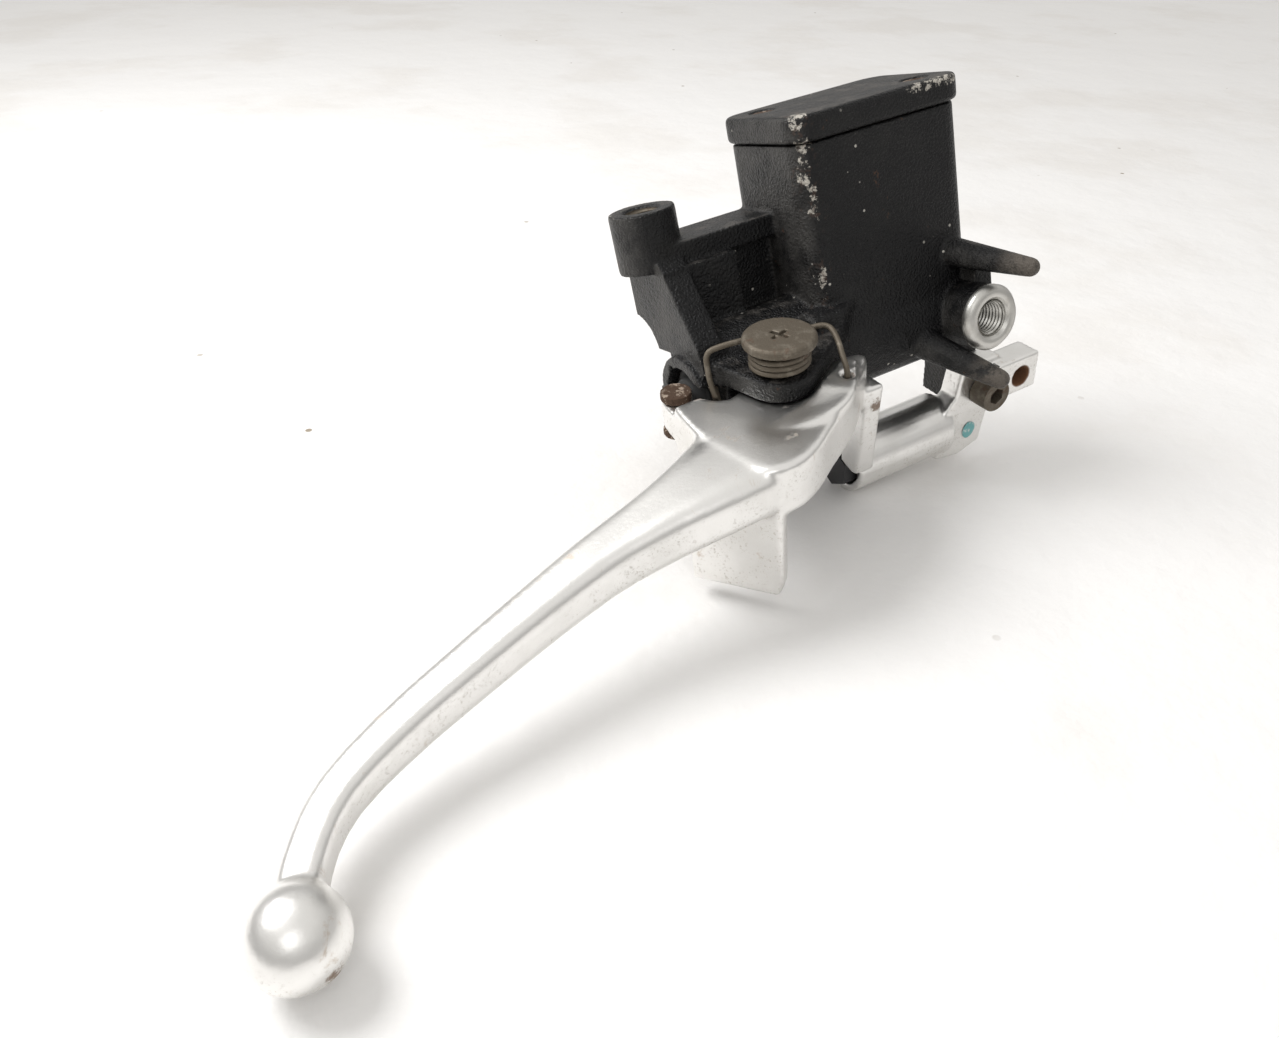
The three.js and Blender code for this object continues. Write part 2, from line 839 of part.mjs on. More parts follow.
// The blade is a straight bar with a rounded section, then carried onto the centre line.
function blade() {
  const steps = 24;
  const section = roundedRectangle(-0.5, 0.5, -0.5, 0.5, 0.26);
  const geometry = new THREE.ExtrudeGeometry(section, {
    depth: 1,
    steps,
    bevelEnabled: false,
    curveSegments: 2,
  });
  const line = new THREE.CatmullRomCurve3(
    bladeStations.map((s) => new THREE.Vector3(s.x, s.y, s.z)),
    false,
    "centripetal",
  );
  const sizes = new THREE.CatmullRomCurve3(
    bladeStations.map((s) => new THREE.Vector3(s.width, s.thick, 0)),
    false,
    "centripetal",
  );
  const position = geometry.attributes.position;
  for (let i = 0; i < position.count; i += 1) {
    const along = Math.min(1, Math.max(0, position.getZ(i)));
    const center = line.getPoint(along);
    const tangent = line.getTangent(along);
    const size = sizes.getPoint(along);
    const across = new THREE.Vector3(-tangent.y, tangent.x, 0).normalize();
    center.addScaledVector(across, position.getX(i) * size.x);
    center.z += position.getY(i) * size.y;
    position.setXYZ(i, center.x, center.y, center.z);
  }
  return solid(geometry);
}

function leverRoot() {
  const outline = softOutline(
    [
      [-27.6, 10],
      [-28.6, 3],
      [-29, -7],
      [-27, -20],
      [-24, -29.6],
      [-16, -31],
      [-8, -28],
      [1, -22],
      [12, -15],
      [22, -6.5],
      [28.5, 0.4],
      [23, 3.2],
      [12, 2.4],
      [6.8, 6],
      [0, 8.8],
      [-7, 6.2],
      [-14.5, 4.2],
      [-19, 9.5],
      [-19.1, 17.5],
      [-22, 21.2],
      [-26, 18.6],
    ],
    70,
  );
  return solid(plate(outline, lever.bottom, lever.top, 1));
}

// The crescent that follows the round front of the upper ear and rises to the spring hole.
function crescent() {
  const { start, end, outer, rise, outerRise } = crescentSweep;
  const shape = new THREE.Shape();
  shape.absarc(0, 0, outer, start, end);
  lineThrough(shape, outlines.crescentEnd);
  shape.absarc(0, 0, ear.radius + 1, 1.72 * Math.PI, start, true);
  const geometry = plate(shape, lever.top - 2, lever.top);
  const position = geometry.attributes.position;
  for (let i = 0; i < position.count; i += 1) {
    const onTop = position.getZ(i) > lever.top - 1;
    const turn = Math.atan2(position.getY(i), position.getX(i)) + 2 * Math.PI;
    const along = THREE.MathUtils.smoothstep(turn, start, end);
    const outward = Math.hypot(position.getX(i), position.getY(i)) > ear.radius + 4;
    if (onTop) position.setZ(i, lever.top + (outward ? outerRise : rise) * along);
  }
  return solid(geometry);
}

// The plate that hangs under the blade and the upright bar that works the brake light switch.
function hangingPlate() {
  const { x, y, turn, half } = hangingPlace;
  const geometry = plate(polygon(outlines.hangingPlate), -half, half, 0.8);
  geometry.rotateX(Math.PI / 2);
  geometry.rotateZ(turn);
  geometry.translate(x, y, 0);
  return solid(geometry);
}

function switchArm() {
  return solid(prismAlongX(outlines.switchArm, switchArmBox.x0, switchArmBox.x1));
}

// Thins the end of the lever above and below so that it can enter the mouth of the bore.
function noseTrim() {
  const { x0, x1, y0, y1 } = noseRoom;
  return join(
    solid(block(x0, x1, y0, y1, nose.top, 0)),
    solid(block(x0, x1, y0, y1, -FAR, nose.bottom)),
  );
}

function leverSolid() {
  const mass = join(
    leverRoot(),
    blade(),
    solid(ball([leverBall.x, leverBall.y, leverBall.z], leverBall.radius, 24)),
    crescent(),
    hangingPlate(),
    switchArm(),
  );
  return cut(
    mass,
    noseTrim(),
    solid(rod([0, 0, -FAR], [0, 0, 0], bush.radius + GAP, undefined, FINE)),
    solid(rod([pushPin.x, pushPin.y, -FAR], [pushPin.x, pushPin.y, 0], pushPin.hole + GAP, undefined, FINE)),
    solid(
      rod(
        [springHole.x, springHole.y, -22],
        [springHole.x, springHole.y, 0],
        springHole.radius,
        undefined,
        12,
      ),
    ),
  );
}

function pushPinSolid() {
  return turnedUpright(
    [
      [0, pushPin.end],
      [pushPin.radius, pushPin.end],
      [pushPin.radius, nose.bottom - GAP],
      [pushPin.hole, nose.bottom - GAP],
      [pushPin.hole, nose.top + GAP],
      [pushPin.radius, nose.top + GAP],
      [pushPin.radius, nose.top + GAP + pushPin.capHeight],
      [0, nose.top + GAP + pushPin.capHeight],
    ],
    pushPin.x,
    pushPin.y,
    FINE,
  );
}

// ---------- pieces in the bore ----------
function pistonSolid() {
  return turnedAlongX(
    [
      [piston.tip, 0],
      [piston.tip, piston.tipRadius - 0.6],
      [piston.tip + 0.6, piston.tipRadius],
      [piston.shoulder, piston.tipRadius],
      [piston.shoulder, piston.radius],
      [cup.secondary, piston.radius],
      [cup.secondary, cup.core],
      [cup.secondary + cup.width + GAP, cup.core],
      [cup.secondary + cup.width + GAP, piston.radius],
      [6, piston.radius],
      [8, cup.core],
      [piston.end - 4, cup.core],
      [piston.end - 3, piston.radius],
      [piston.end, piston.radius],
      [piston.end, cup.spigot],
      [piston.end + 4, cup.spigot],
      [piston.end + 4, 0],
    ],
    bore.y,
    bore.z,
    FINE,
  );
}

// A lipped ring seal; the lip opens towards +X.
function cupSolid(x, core) {
  return turnedAlongX(
    [
      [x, core + GAP],
      [x, piston.radius],
      [x + cup.width - GAP, piston.radius],
      [x + cup.width - GAP, piston.radius - 0.8],
      [x + 1.6, core + 0.9],
      [x + 1.6, core + GAP],
      [x, core + GAP],
    ],
    bore.y,
    bore.z,
    FINE,
  );
}

function ringInBore(x0, x1, inner, outer) {
  return turnedAlongX(
    [
      [x0, inner],
      [x0, outer],
      [x1, outer],
      [x1, inner],
      [x0, inner],
    ],
    bore.y,
    bore.z,
    FINE,
  );
}

function circlipSolid() {
  const ring = ringInBore(retaining.circlip, retaining.circlip + 1, 6.4, retaining.groove - GAP);
  const opening = solid(block(-20, 0, bore.y - 20, bore.y - 5, bore.z - 10, bore.z + 10));
  return cut(ring, opening);
}

function dustBoot() {
  return turnedAlongX(
    [
      [boot.x1, piston.tipRadius + GAP],
      [boot.x0, piston.tipRadius + GAP],
      [boot.x0, piston.tipRadius + 1.3],
      [boot.x0 + 1.1, piston.tipRadius + 2.6],
      [boot.x0 + 1.7, piston.tipRadius + 2.0],
      [boot.x1 - 0.9, retaining.outer],
      [boot.x1, retaining.outer],
      [boot.x1, piston.tipRadius + GAP],
    ],
    bore.y,
    bore.z,
    FINE,
  );
}

function pistonSpring() {
  const perTurn = 10;
  const total = boreSpring.turns * perTurn;
  const points = [...Array(total + 1).keys()].map((i) => {
    const angle = (i * 2 * Math.PI) / perTurn;
    return new THREE.Vector3(
      boreSpring.x0 + ((boreSpring.x1 - boreSpring.x0) * i) / total,
      bore.y + boreSpring.radius * Math.cos(angle),
      bore.z + boreSpring.radius * Math.sin(angle),
    );
  });
  return wire(points, boreSpring.wire, total, 2);
}

// ---------- brake light switch and its bracket ----------
// The bracket: a plate screwed to the foot, an ear with a spare hole and a tube for the switch.
function switchBracket() {
  const face = plate(polygon(outlines.bracketPlate), 0, bracket.back - bracket.front, 0.6);
  face.rotateX(Math.PI / 2);
  face.translate(0, bracket.back, 0);
  const { x0, x1, back, bottom, top } = spareEar;
  const outside = rod([tube.x0, tube.y, tube.z], [tube.x1, tube.y, tube.z], tube.outer);
  const slot = block(0, tubeSlot.x1, -20, 40, tubeSlot.bottom, 0);
  const mass = join(
    solid(face),
    solid(block(x0, x1, 0, back, bottom, top)),
    cut(solid(outside), solid(slot)),
  );
  const channel = rod([0, tube.y, tube.z], [tube.inside, tube.y, tube.z], tube.inner);
  return cut(
    mass,
    solid(channel),
    solid(
      rod(
        [bracketScrew.x, -9, bracketScrew.z],
        [bracketScrew.x, 30, bracketScrew.z],
        bracketScrew.shank + GAP,
        undefined,
        FINE,
      ),
    ),
    solid(
      rod([spareHole.x, -9, spareHole.z], [spareHole.x, 30, spareHole.z], spareHole.radius, undefined, FINE),
    ),
    solid(rod([bracketScrew.x, -9, bracketScrew.z], [bracketScrew.x, 3.6, bracketScrew.z], 6)),
  );
}

function bracketScrewSolid() {
  const seat = bracket.front - GAP;
  const head = rod(
    [bracketScrew.x, seat, bracketScrew.z],
    [bracketScrew.x, seat - bracketScrew.headLength, bracketScrew.z],
    bracketScrew.head,
  );
  const shank = rod(
    [bracketScrew.x, seat - 1, bracketScrew.z],
    [bracketScrew.x, bracketScrew.end, bracketScrew.z],
    bracketScrew.shank,
    undefined,
    FINE,
  );
  const socket = rod(
    [bracketScrew.x, seat - bracketScrew.headLength - 1, bracketScrew.z],
    [bracketScrew.x, seat - bracketScrew.headLength + 3, bracketScrew.z],
    2.7,
    undefined,
    6,
  );
  return cut(join(solid(head), solid(shank)), solid(socket));
}

function lightSwitchSolid() {
  const body = rod(
    [lightSwitch.x0, tube.y, tube.z],
    [lightSwitch.x1, tube.y, tube.z],
    lightSwitch.across / Math.sqrt(3),
    undefined,
    6,
  );
  const head = block(
    lightSwitch.x0,
    lightSwitch.headX1,
    lightSwitch.headFront,
    lightSwitch.headBack,
    tube.z + 2,
    lightSwitch.headTop,
  );
  const guide = rod(
    [plunger.x, 0, plunger.z],
    [plunger.x, plunger.inside + 1, plunger.z],
    plunger.radius + GAP,
    undefined,
    FINE,
  );
  return cut(join(solid(body), solid(head)), solid(guide));
}

function plungerSolid() {
  return join(
    solid(
      rod(
        [plunger.x, plunger.tip, plunger.z],
        [plunger.x, plunger.inside, plunger.z],
        plunger.radius,
        undefined,
        FINE,
      ),
    ),
  );
}

// ---------- assembly ----------
const group = new THREE.Group();
group.name = "brake_master_cylinder";
const leverFrame = new THREE.Group();
leverFrame.name = "lever_frame";
leverFrame.position.set(pivot.x, pivot.y, pivot.z);
leverFrame.rotation.x = pivot.lean;
group.add(leverFrame);

function place(parent, name, made, look) {
  const mesh = new THREE.Mesh(geometryOf(made), look);
  mesh.name = name;
  parent.add(mesh);
  return mesh;
}

place(group, "master_cylinder_body", masterCylinderBody(), blackCasting);
place(group, "reservoir_lid", reservoirLid(), blackCasting);
for (const [side, [x, y]] of Object.entries(lidScrewPlaces)) {
  place(group, "lid_screw_" + side, lidScrewSolid(), rustySteel).position.set(x, y, 0);
}
place(group, "diaphragm_plate", diaphragmPlate(), blackPlastic);
place(group, "reservoir_diaphragm", diaphragm(), blackRubber);
place(group, "feed_hole_baffle", baffle(), brightSteel);
place(group, "sight_glass", sightGlass(), windowGlass);
place(leverFrame, "pivot_bolt", pivotBoltSolid(), agedSteel);
place(leverFrame, "pivot_nut", pivotNutSolid(), agedSteel);
place(leverFrame, "pivot_bush", bushSolid(), brightSteel);
place(leverFrame, "lever", leverSolid(), bareAluminium);
place(leverFrame, "push_pin", pushPinSolid(), rustySteel);
place(leverFrame, "lever_return_spring", returnSpring(), agedSteel);
place(group, "piston", pistonSolid(), brightSteel);
place(group, "secondary_cup", cupSolid(cup.secondary + GAP / 2, cup.core), blackRubber);
place(group, "primary_cup", cupSolid(cup.primary, cup.spigot), blackRubber);
place(group, "piston_return_spring", pistonSpring(), brightSteel);
place(
  group,
  "piston_washer",
  ringInBore(retaining.washer, bore.mouth + mouth.depth - GAP, piston.tipRadius + GAP, retaining.outer),
  agedSteel,
);
place(group, "circlip", circlipSolid(), agedSteel);
place(group, "dust_boot", dustBoot(), blackRubber);
place(leverFrame, "switch_bracket", switchBracket(), bareAluminium);
place(leverFrame, "bracket_screw", bracketScrewSolid(), agedSteel);
place(leverFrame, "brake_light_switch", lightSwitchSolid(), blackPlastic);
place(leverFrame, "switch_plunger", plungerSolid(), whitePlastic);

export default group;
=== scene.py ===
import json
import math

import bmesh
import bpy
from mathutils import Matrix, Vector, noise


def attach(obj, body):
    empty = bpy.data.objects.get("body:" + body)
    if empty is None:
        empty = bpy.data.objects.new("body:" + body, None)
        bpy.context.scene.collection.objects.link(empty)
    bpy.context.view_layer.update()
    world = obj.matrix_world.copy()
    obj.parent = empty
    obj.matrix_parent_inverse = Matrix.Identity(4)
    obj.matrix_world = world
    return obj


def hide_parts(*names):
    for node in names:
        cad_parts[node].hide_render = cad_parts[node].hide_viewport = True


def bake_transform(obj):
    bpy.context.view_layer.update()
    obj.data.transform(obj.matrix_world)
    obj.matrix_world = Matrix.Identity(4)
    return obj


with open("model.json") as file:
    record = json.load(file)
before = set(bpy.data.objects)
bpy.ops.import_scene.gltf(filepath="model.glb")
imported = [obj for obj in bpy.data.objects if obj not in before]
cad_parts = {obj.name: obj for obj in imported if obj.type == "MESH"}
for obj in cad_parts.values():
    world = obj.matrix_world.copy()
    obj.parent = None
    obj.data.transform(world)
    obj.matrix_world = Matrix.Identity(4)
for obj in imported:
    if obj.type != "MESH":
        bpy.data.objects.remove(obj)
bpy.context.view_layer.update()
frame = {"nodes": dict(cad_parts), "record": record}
MM = 0.001

# ---------- dimensions ----------
LEAN = math.radians(13)  # the lever's plane against the lid
PIVOT = Vector((3, -50, 9)) * MM  # middle of the pivot bolt's head
PORT = Vector((74, -49.4, -9)) * MM  # middle of the outlet's face
PORT_RADIUS = 9.3 * MM
MIRROR = Vector((-10, -11, 41.5)) * MM  # middle of the mirror boss's face
OUTLET_THREAD = 4.96 * MM
MIRROR_THREAD = 4.36 * MM
THREAD_PITCH = 1.25 * MM
THREAD_TOOTH = 0.55  # height of a tooth, in pitches
OUTLET_THREAD_TOP = 0.5 * MM  # depths of the threads below the faces, and their lengths
OUTLET_THREAD_LENGTH = 10.5 * MM
MIRROR_THREAD_TOP = 0.6 * MM
MIRROR_THREAD_LENGTH = 12 * MM
SPRING_RADIUS = 7.4 * MM
WIRE_RADIUS = 0.8 * MM
SPRING_PITCH = 1.62 * MM
SPRING_TURNS = 3
SPRING_START = math.radians(100)  # where the coil leaves its first leg
SPRING_GAP = 0.25 * MM  # between the bolt's head and the first turn
BOLT_HEAD_HEIGHT = 2.4 * MM
LEG_STEP = 0.7 * MM  # length of a stretch of the spring's legs
BORE = Vector((0, -25.35, -8.9)) * MM  # a point on the bore's axis
BORE_SPRING_LEFT = 39.7 * MM
BORE_SPRING_RIGHT = 57.1 * MM
BORE_SPRING_RADIUS = 4.7 * MM
BORE_SPRING_WIRE = 0.48 * MM
BORE_SPRING_TURNS = 7
# Section of the boot as (radius, X) in millimetres: the lip on the piston, a fold, the rim in the mouth.
BOOT_FRONT = [(4.5, -14.1), (5.0, -14.5), (5.6, -14.3), (6.0, -13.6), (6.4, -12.3), (6.9, -11.8),
              (7.5, -12.0), (8.1, -11.9), (8.6, -11.6), (8.6, -11.0)]
BOOT_BACK = [(8.1, -10.9), (7.5, -11.1), (6.9, -11.0), (6.2, -11.5), (5.6, -12.7), (5.2, -13.4),
             (4.7, -13.6)]

DOT_PLACE = (73.4, 3.45, -60.2)  # the dab of paint, in millimetres of the tilted frame
DOT_RADIUS = 2.5
DOT_WOBBLE = 0.25
DOT_HEIGHT = 0.28
DOT_STRETCH = 1.15

# Size of the cells that a casting is remeshed in, in millimetres, and how often it is then smoothed.
SOFTENED = {
    "master_cylinder_body": (0.5, 6),
    "reservoir_lid": (0.4, 6),
    "lever": (0.55, 26),
    "switch_bracket": (0.45, 7),
    "push_pin": (0.25, 4),
    "pivot_bolt": (0.25, 3),
    "lid_screw_left": (0.2, 3),
    "lid_screw_right": (0.2, 3),
}
SMOOTHING = 0.5
WELD_GAP = 0.01 * MM
# Width of the broken edges of the machined and moulded pieces, in millimetres.
BROKEN_EDGES = {
    "pivot_nut": 0.3,
    "bracket_screw": 0.4,
    "pivot_bush": 0.2,
    "piston": 0.2,
    "piston_washer": 0.1,
    "circlip": 0.1,
    "primary_cup": 0.1,
    "secondary_cup": 0.1,
    "brake_light_switch": 0.3,
    "switch_plunger": 0.2,
    "sight_glass": 0.3,
    "diaphragm_plate": 0.1,
    "reservoir_diaphragm": 0.4,
    "feed_hole_baffle": 0.1,
}
BEVEL_SEGMENTS = 3
BEVEL_ANGLE = math.radians(35)  # edges sharper than this are broken
SHADE_ANGLE = math.radians(40)  # edges sharper than this are shaded as edges

WIRE_SIDES = 14
COIL_STEPS = 48  # stretches of wire in a turn of the lever's spring
BORE_COIL_STEPS = 36
RING_FACETS = 96
BOOT_FACETS = 72
THREAD_FACETS = 72
THREAD_ROWS = 8  # rows of facets in one pitch
DOT_RINGS = 6
DOT_FACETS = 32

TANK_CORNER = Vector((27, -34.5, 20)) * MM  # the worn front left edge of the reservoir
LID_FRONT = Vector((50, -38, 56)) * MM  # the upper front edge of the lid
LID_CHIPS = Vector((74, -38, 55)) * MM  # where the lid's paint is chipped most
UPPER_TIP = Vector((81, -57, 4.6)) * MM  # ends of the two hose stops
LOWER_TIP = Vector((69, -56, -24.5)) * MM

CAMERA_PLACE = Vector((-131.9, -271.1, 89.8)) * MM
CAMERA_AZIMUTH = math.radians(-21.33)
CAMERA_ELEVATION = math.radians(25.74)
CAMERA_ROLL = math.radians(12.94)
CAMERA_LENS = 29.27  # mm
CAMERA_SENSOR = 36
CAMERA_NEAR = 0.01

TABLE_SLOPE = -0.12  # the table's fall along X in the lever's tilted frame
TABLE_REACH = 1.6  # half of the table's width
TABLE_CELLS = 60
ROOM_COLOR = (1, 0.985, 0.96, 1)
ROOM_LOW = 0.4  # brightness of the room at the table's edge and overhead
ROOM_HIGH = 0.82
ROOM_TOP = 0.8  # the height, as a sine, from which the room is at its brightest
LIT_PLACE = Vector((0, -0.03, 0))  # where both lights point
# Each light: its height over the table, its place sideways, its size and its power.
WINDOW = (0.7, Vector((-0.4, 0.3, 0)), 0.45, 5)
FILL = (0.5, Vector((-0.3, -0.6, 0)), 0.5, 0.6)

TILT = Matrix.Translation(PIVOT) @ Matrix.Rotation(LEAN, 4, "X")


def tilted(x, y, z):
    """A point of the lever's tilted frame, given in millimetres, in the row frame."""
    return TILT @ (Vector((x, y, z)) * MM)


TABLE_UP = (TILT.to_3x3() @ Vector((-TABLE_SLOPE, 0, 1))).normalized()
BALL_SPOT = tilted(-150.5, -82.5, -38)  # rust spots on the bare metal
PIN_RUST = tilted(-19, 12, -17)
SPRING_RUST = tilted(15.5, -9, -13)
ARM_RUST = tilted(29, -4, -30)
SPARE_HOLE = tilted(89.4, 0, -45)
SPARE_HOLE_AXIS = TILT.to_3x3() @ Vector((0, 1, 0))
DUSTY_SIDE = (-0.97, -0.1, 0.1)  # the side on which the black paint is dusty

# ---------- colours ----------
BLACK_PAINT = (0.004, 0.004, 0.0045)
PAINT_HAZE = (0.03, 0.029, 0.027)
PAINT_DUST = (0.11, 0.105, 0.098)
LID_GRIME = (0.12, 0.11, 0.1)
# Pale bare metal of the chips; on the black paint's convex edges it is partly a painted highlight.
CHIPPED_METAL_AND_EDGE_HIGHLIGHT = (0.5, 0.47, 0.42)
PALE_SPECK = (0.48, 0.46, 0.42)
SCUFFED_TIP = (0.12, 0.105, 0.09)
PAINT_RUST = (0.1, 0.05, 0.03)
CHIP_RUST = (0.09, 0.05, 0.035)
BARE_ALUMINIUM = (0.86, 0.85, 0.83)
CLOUDED_ALUMINIUM = (0.68, 0.67, 0.64)
PITTED_ALUMINIUM = (0.45, 0.41, 0.35)
STAINED_ALUMINIUM = (0.42, 0.3, 0.19)
RUST_SPOT = (0.17, 0.1, 0.055)
RUSTY_HOLE = (0.16, 0.075, 0.035)
OLD_STEEL = (0.12, 0.1, 0.075)
RUBBED_STEEL = (0.2, 0.175, 0.14)
BROWN_RUST = (0.085, 0.045, 0.025)
DEEP_RUST = (0.075, 0.042, 0.025)
PALE_CRUST = (0.42, 0.34, 0.27)
DARK_CRUST = (0.045, 0.028, 0.02)
CUT_METAL = (0.6, 0.59, 0.56)
DULL_METAL = (0.42, 0.4, 0.36)
RUBBER = (0.018, 0.018, 0.018)
BLACK_PLASTIC = (0.02, 0.02, 0.022)
WHITE_PLASTIC = (0.7, 0.68, 0.6)
YELLOWED_GLASS = (0.62, 0.6, 0.45)
TEAL = (0.16, 0.42, 0.43)
WORN_TEAL = (0.6, 0.66, 0.64)
PLASTER = (0.87, 0.86, 0.85)
STAINED_PLASTER = (0.72, 0.68, 0.63)
CRUMB = (0.3, 0.25, 0.19)

# ---------- material tools ----------
class Look:
    """A procedural material: a principled shader fed by noise in object space."""

    def __init__(self, name, color, roughness, metallic=0.0):
        self.material = bpy.data.materials.new(name)
        self.material.use_nodes = True
        self.nodes = self.material.node_tree.nodes
        self.links = self.material.node_tree.links
        self.shader = self.nodes["Principled BSDF"]
        self.shader.inputs["Base Color"].default_value = (*color, 1)
        self.shader.inputs["Roughness"].default_value = roughness
        self.shader.inputs["Metallic"].default_value = metallic
        self.coordinates = self.nodes.new("ShaderNodeTexCoord").outputs["Object"]
        self.color = None
        self.rough = None
        self.metal = None
        self.normal = None

    def noise(self, scale, detail, roughness, distortion=0.0):
        node = self.nodes.new("ShaderNodeTexNoise")
        node.inputs["Scale"].default_value = scale
        node.inputs["Detail"].default_value = detail
        node.inputs["Roughness"].default_value = roughness
        node.inputs["Distortion"].default_value = distortion
        self.links.new(self.coordinates, node.inputs["Vector"])
        return node.outputs["Fac"]

    def clouds(self, scale, detail, roughness, low, high):
        """Patches of noise: 0 where it is under low, 1 where it is over high."""
        return self.ramp(self.noise(scale, detail, roughness), low, high)

    def cells(self, scale):
        node = self.nodes.new("ShaderNodeTexVoronoi")
        node.inputs["Scale"].default_value = scale
        self.links.new(self.coordinates, node.inputs["Vector"])
        return node.outputs["Distance"]

    def ramp(self, source, low, high, bottom=0.0, top=1.0):
        node = self.nodes.new("ShaderNodeMapRange")
        node.interpolation_type = "SMOOTHSTEP"
        node.inputs["From Min"].default_value = low
        node.inputs["From Max"].default_value = high
        node.inputs["To Min"].default_value = bottom
        node.inputs["To Max"].default_value = top
        self.links.new(source, node.inputs["Value"])
        return node.outputs["Result"]

    def math(self, kind, a, b):
        node = self.nodes.new("ShaderNodeMath")
        node.operation = kind
        for socket, value in zip(node.inputs, (a, b)):
            if isinstance(value, (int, float)):
                socket.default_value = value
            else:
                self.links.new(value, socket)
        return node.outputs["Value"]

    def both(self, a, b):
        return self.math("MULTIPLY", a, b)

    def either(self, a, b):
        return self.math("MAXIMUM", a, b)

    def edges(self, low, high):
        """1 on convex edges, 0 elsewhere."""
        geometry = self.nodes.new("ShaderNodeNewGeometry")
        return self.ramp(geometry.outputs["Pointiness"], low, high)

    def facing(self, direction, low, high):
        """1 where the surface faces the given direction of the row frame."""
        geometry = self.nodes.new("ShaderNodeNewGeometry")
        dot = self.nodes.new("ShaderNodeVectorMath")
        dot.operation = "DOT_PRODUCT"
        dot.inputs[1].default_value = direction
        self.links.new(geometry.outputs["Normal"], dot.inputs[0])
        return self.ramp(dot.outputs["Value"], low, high)

    def near(self, place, inner, outer):
        """1 within inner of a point of the row frame, falling to 0 at outer."""
        distance = self.nodes.new("ShaderNodeVectorMath")
        distance.operation = "DISTANCE"
        distance.inputs[1].default_value = place
        self.links.new(self.coordinates, distance.inputs[0])
        return self.ramp(distance.outputs["Value"], inner, outer, 1.0, 0.0)

    def along(self, place, direction, inner, outer):
        """1 within inner of a line of the row frame, falling to 0 at outer."""
        offset = self.nodes.new("ShaderNodeVectorMath")
        offset.operation = "SUBTRACT"
        offset.inputs[1].default_value = place
        self.links.new(self.coordinates, offset.inputs[0])
        cross = self.nodes.new("ShaderNodeVectorMath")
        cross.operation = "CROSS_PRODUCT"
        cross.inputs[1].default_value = direction
        self.links.new(offset.outputs["Vector"], cross.inputs[0])
        length = self.nodes.new("ShaderNodeVectorMath")
        length.operation = "LENGTH"
        self.links.new(cross.outputs["Vector"], length.inputs[0])
        return self.ramp(length.outputs["Value"], inner, outer, 1.0, 0.0)

    def _mix(self, kind, current, default, new, mask):
        node = self.nodes.new("ShaderNodeMix")
        node.data_type = kind
        # The sockets of a mix node share their names, so they are reached by number.
        first, second = (6, 7) if kind == "RGBA" else (2, 3)
        if current is None:
            node.inputs[first].default_value = default
        else:
            self.links.new(current, node.inputs[first])
        if kind == "RGBA":
            node.inputs[second].default_value = (*new, 1)
        else:
            node.inputs[second].default_value = new
        self.links.new(mask, node.inputs[0])
        return node.outputs[2 if kind == "RGBA" else 0]

    def layer(self, mask, color, roughness=None, metallic=None):
        """Lays another surface over what is there, where mask is 1."""
        inputs = self.shader.inputs
        base = tuple(inputs["Base Color"].default_value)
        self.color = self._mix("RGBA", self.color, base, color, mask)
        if roughness is not None:
            default = inputs["Roughness"].default_value
            self.rough = self._mix("FLOAT", self.rough, default, roughness, mask)
        if metallic is not None:
            default = inputs["Metallic"].default_value
            self.metal = self._mix("FLOAT", self.metal, default, metallic, mask)

    def bump(self, height, strength, distance):
        node = self.nodes.new("ShaderNodeBump")
        node.inputs["Strength"].default_value = strength
        node.inputs["Distance"].default_value = distance
        self.links.new(height, node.inputs["Height"])
        if self.normal is not None:
            self.links.new(self.normal, node.inputs["Normal"])
        self.normal = node.outputs["Normal"]

    def done(self):
        for source, name in (
            (self.color, "Base Color"),
            (self.rough, "Roughness"),
            (self.metal, "Metallic"),
            (self.normal, "Normal"),
        ):
            if source is not None:
                self.links.new(source, self.shader.inputs[name])
        return self.material


# ---------- materials ----------
def worn_black():
    look = Look("worn black paint", BLACK_PAINT, 0.34)
    look.shader.inputs["Specular IOR Level"].default_value = 0.27
    look.bump(look.noise(1500, 2, 0.5), 0.7, 0.0009)
    look.bump(look.noise(300, 4, 0.6), 0.3, 0.0009)
    dirty_black(look)
    chipped_black_and_edge_highlight(look)
    return look.done()


def dirty_black(look):
    """Haze everywhere, dust on one side and grime on the lid."""
    haze = look.clouds(60, 5, 0.65, 0.45, 0.72)
    look.layer(look.both(haze, 0.25), PAINT_HAZE, 0.5)
    dust = look.facing(DUSTY_SIDE, 0.45, 0.95)
    dusty = look.both(look.both(dust, look.clouds(90, 5, 0.7, 0.3, 0.65)), 0.4)
    look.layer(dusty, PAINT_DUST, 0.55)
    lid_top = look.facing((0, 0, 1), 0.9, 0.99)
    grime = look.both(look.both(lid_top, look.clouds(150, 6, 0.75, 0.46, 0.62)), 0.5)
    look.layer(grime, LID_GRIME, 0.6)


